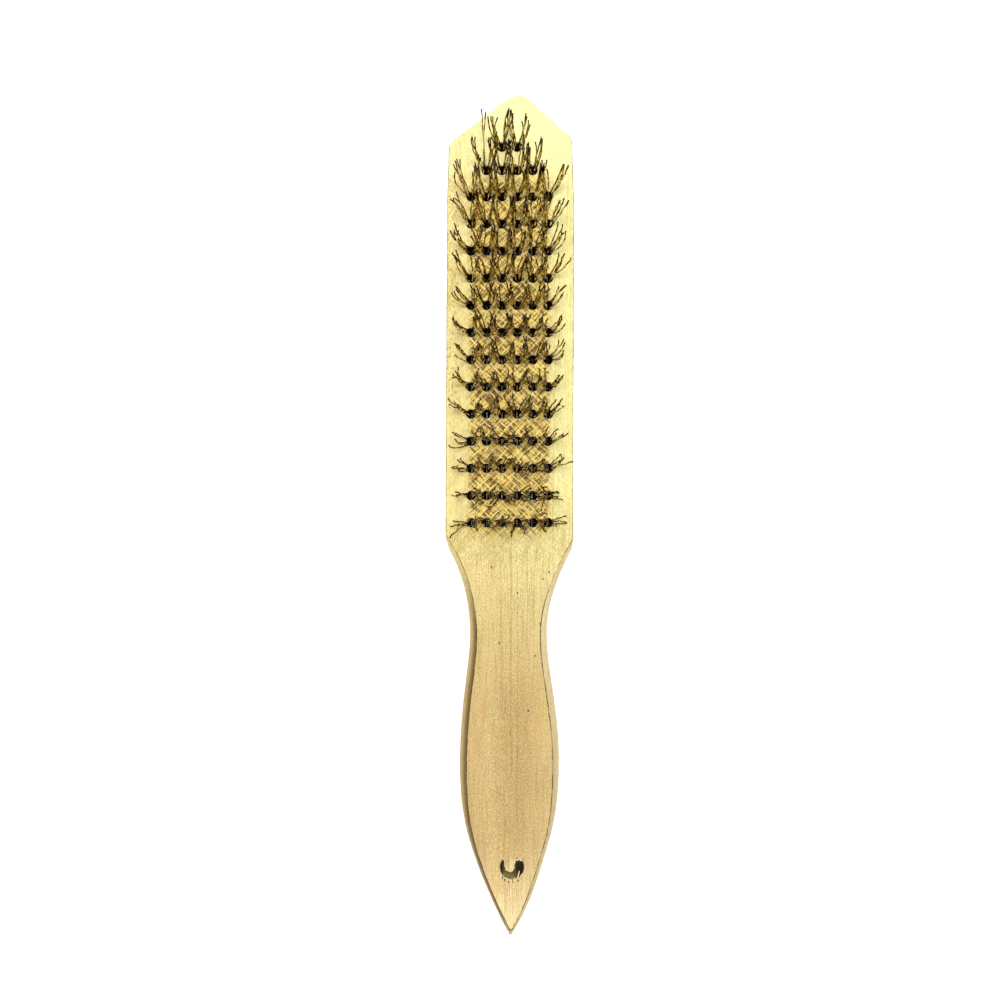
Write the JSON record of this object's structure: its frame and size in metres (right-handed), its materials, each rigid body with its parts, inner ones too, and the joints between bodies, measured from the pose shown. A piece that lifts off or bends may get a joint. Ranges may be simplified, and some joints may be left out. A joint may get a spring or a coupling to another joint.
{
  "type": "wire brush",
  "caption": "Long-handled hand brush: a shaped wooden block with a pointed head, a waisted handle with a hanging hole, and rows of crimped brassed wire tufts for cleaning metal.",
  "frame": {"origin": "under the middle of the brush's length and width, on the plane that the head's flat back lies on", "axes": "+X from the tail of the handle to the nose of the head, +Z the way the wires point, +Y across the head, to the left when the wires face the viewer and the nose is up"},
  "size_m": [0.29, 0.0436, 0.0425],
  "materials": {
    "wood": "bare planed beech with fine lengthwise grain",
    "brassed_wire": "bright drawn wire, crimped"
  },
  "bodies": {
    "root": {"handle_block": "wood", "tuft_row01_col3": "brassed_wire", "tuft_row01_col4": "brassed_wire", "tuft_row02_col2": "brassed_wire", "tuft_row02_col3": "brassed_wire", "tuft_row02_col4": "brassed_wire", "tuft_row02_col5": "brassed_wire", "tuft_row03_col1": "brassed_wire", "tuft_row03_col6": "brassed_wire", "tuft_row04_col1": "brassed_wire", "tuft_row04_col6": "brassed_wire", "tuft_row05_col1": "brassed_wire", "tuft_row05_col6": "brassed_wire", "tuft_row06_col1": "brassed_wire", "tuft_row06_col6": "brassed_wire", "tuft_row07_col1": "brassed_wire", "tuft_row07_col6": "brassed_wire", "tuft_row08_col1": "brassed_wire", "tuft_row08_col6": "brassed_wire", "tuft_row09_col1": "brassed_wire", "tuft_row09_col6": "brassed_wire", "tuft_row10_col1": "brassed_wire", "tuft_row10_col6": "brassed_wire", "tuft_row11_col1": "brassed_wire", "tuft_row11_col6": "brassed_wire", "tuft_row12_col1": "brassed_wire", "tuft_row12_col6": "brassed_wire", "tuft_row13_col1": "brassed_wire", "tuft_row13_col6": "brassed_wire", "tuft_row14_col1": "brassed_wire", "tuft_row14_col6": "brassed_wire", "tuft_row15_col1": "brassed_wire", "tuft_row15_col6": "brassed_wire", "tufts_row03_col2_3": "brassed_wire", "tufts_row03_col4_5": "brassed_wire", "tufts_row04_col2_3": "brassed_wire", "tufts_row04_col4_5": "brassed_wire", "tufts_row05_col2_3": "brassed_wire", "tufts_row05_col4_5": "brassed_wire", "tufts_row06_col2_3": "brassed_wire", "tufts_row06_col4_5": "brassed_wire", "tufts_row07_col2_3": "brassed_wire", "tufts_row07_col4_5": "brassed_wire", "tufts_row08_col2_3": "brassed_wire", "tufts_row08_col4_5": "brassed_wire", "tufts_row09_col2_3": "brassed_wire", "tufts_row09_col4_5": "brassed_wire", "tufts_row10_col2_3": "brassed_wire", "tufts_row10_col4_5": "brassed_wire", "tufts_row11_col2_3": "brassed_wire", "tufts_row11_col4_5": "brassed_wire", "tufts_row12_col2_3": "brassed_wire", "tufts_row12_col4_5": "brassed_wire", "tufts_row13_col2_3": "brassed_wire", "tufts_row13_col4_5": "brassed_wire", "tufts_row14_col2_3": "brassed_wire", "tufts_row14_col4_5": "brassed_wire", "tufts_row15_col2_3": "brassed_wire", "tufts_row15_col4_5": "brassed_wire"}
  },
  "joints": []
}
